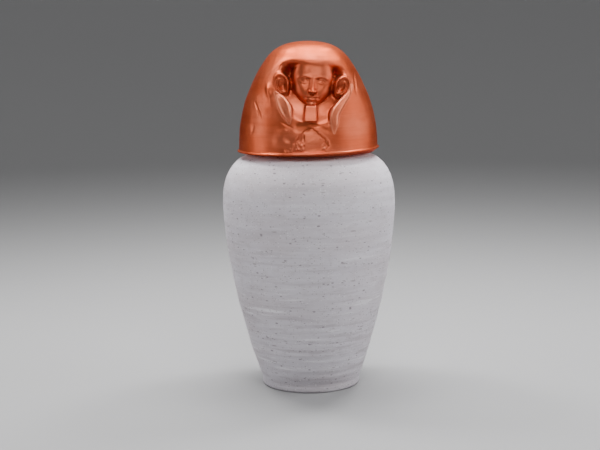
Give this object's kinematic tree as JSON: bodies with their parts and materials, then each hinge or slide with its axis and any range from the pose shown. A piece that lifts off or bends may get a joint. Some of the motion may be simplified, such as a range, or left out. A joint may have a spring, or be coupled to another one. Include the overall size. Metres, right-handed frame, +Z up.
{
  "type": "canopic jar",
  "caption": "Hollow high-shouldered jar with a lift-off lid carved as a calm human head in a plain wig.",
  "frame": {"origin": "middle of the jar's flat underside", "axes": "+Z up, -Y the way the face looks, +X to the right of a viewer in front of the face"},
  "size_m": [0.0962, 0.0962, 0.1928],
  "materials": {
    "marble_print": "matt off-white marble-effect printed plastic with small dark specks and fine layer lines",
    "copper_print": "silk copper-coloured printed plastic with fine layer lines"
  },
  "bodies": {
    "root": {"jar": "marble_print", "head_lid": "copper_print"}
  },
  "joints": []
}
